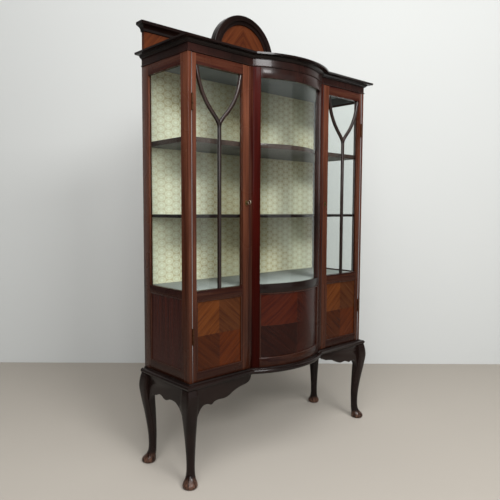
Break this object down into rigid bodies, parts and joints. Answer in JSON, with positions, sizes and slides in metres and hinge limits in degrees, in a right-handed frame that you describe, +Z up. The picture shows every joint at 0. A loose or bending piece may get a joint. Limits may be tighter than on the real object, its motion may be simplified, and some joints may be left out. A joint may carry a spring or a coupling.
{
  "type": "china cabinet",
  "caption": "Bow-fronted glazed china cabinet on cabriole legs, with hinged astragal doors, fixed bowed centre, lined shelves and an arched gallery.",
  "frame": {"origin": "on the floor, under the centre of the whole cabinet's bounding box", "axes": "+Z up; the front with the doors faces -Y; +X is the right-hand side seen from the front"},
  "size_m": [1.082, 0.4062, 1.8748],
  "materials": {
    "dark_mahogany": "french polished, nearly black",
    "mahogany": "french polished red-brown",
    "veneer": "quartered mahogany veneer, polished",
    "back_board": "plain unpolished board",
    "lining": "cream figured cloth lining",
    "glass": "clear drawn sheet glass",
    "brass": "aged brass",
    "lock_steel": "dull steel"
  },
  "bodies": {
    "carcass": {"base_board": "dark_mahogany", "frieze": "dark_mahogany", "cornice": "dark_mahogany", "gallery_arch": "dark_mahogany", "left_gallery_cap": "dark_mahogany", "right_gallery_cap": "dark_mahogany", "left_front_leg": "dark_mahogany", "right_front_leg": "dark_mahogany", "left_back_leg": "dark_mahogany", "right_back_leg": "dark_mahogany", "left_front_apron": "dark_mahogany", "right_front_apron": "dark_mahogany", "left_side_apron": "dark_mahogany", "right_side_apron": "dark_mahogany", "left_side_frame": "mahogany", "right_side_frame": "mahogany", "left_side_panel": "mahogany", "right_side_panel": "mahogany", "left_bow_post": "mahogany", "right_bow_post": "mahogany", "left_bow_stile": "mahogany", "right_bow_stile": "mahogany", "bow_bottom_rail": "mahogany", "bow_middle_rail": "mahogany", "bow_top_rail": "mahogany", "middle_shelf": "mahogany", "upper_shelf": "mahogany", "top_board": "mahogany", "bow_panel": "veneer", "gallery_board": "veneer", "back_panel": "back_board", "back_rail": "back_board", "ceiling_board": "back_board", "display_floor": "lining", "left_side_glass": "glass", "right_side_glass": "glass", "bow_glass": "glass", "left_lower_hinge_frame_leaf": "brass", "left_upper_hinge_frame_leaf": "brass", "right_lower_hinge_frame_leaf": "brass", "right_upper_hinge_frame_leaf": "brass"},
    "left_door": {"left_door_frame": "mahogany", "left_door_glass": "glass", "left_door_bars": "dark_mahogany", "left_door_panel": "veneer", "left_lower_hinge_door_leaf": "brass", "left_upper_hinge_door_leaf": "brass", "left_lock_case": "lock_steel", "left_escutcheon": "brass"},
    "right_door": {"right_door_frame": "mahogany", "right_door_glass": "glass", "right_door_bars": "dark_mahogany", "right_door_panel": "veneer", "right_lower_hinge_door_leaf": "brass", "right_upper_hinge_door_leaf": "brass", "right_lock_case": "lock_steel", "right_escutcheon": "brass"},
    "left_key": {"left_door_key": "brass"},
    "left_bolt": {"left_lock_bolt": "brass"},
    "right_bolt": {"right_lock_bolt": "brass"}
  },
  "joints": [
    {"name": "left_door_hinge", "type": "hinge", "parent": "carcass", "child": "left_door", "pos_m": [-0.4935, -0.11253, 0.9785], "axis": [0, 0, -1], "range_deg": [0, 170]},
    {"name": "right_door_hinge", "type": "hinge", "parent": "carcass", "child": "right_door", "pos_m": [0.4935, -0.11253, 0.9785], "axis": [0, 0, 1], "range_deg": [0, 170]},
    {"name": "left_key_turn", "type": "hinge", "parent": "left_door", "child": "left_key", "pos_m": [-0.236, -0.10913, 1.048], "axis": [0, 1, 0], "range_deg": [0, 180]},
    {"name": "left_bolt_slide", "type": "slide", "parent": "left_door", "child": "left_bolt", "axis": [1, 0, 0], "range_m": [0, 0.008]},
    {"name": "right_bolt_slide", "type": "slide", "parent": "right_door", "child": "right_bolt", "axis": [-1, 0, 0], "range_m": [0, 0.008]}
  ],
  "couplings": [
    {"joint": "left_bolt_slide", "follows": "left_key_turn", "m_per_rad": 0.002546}
  ]
}
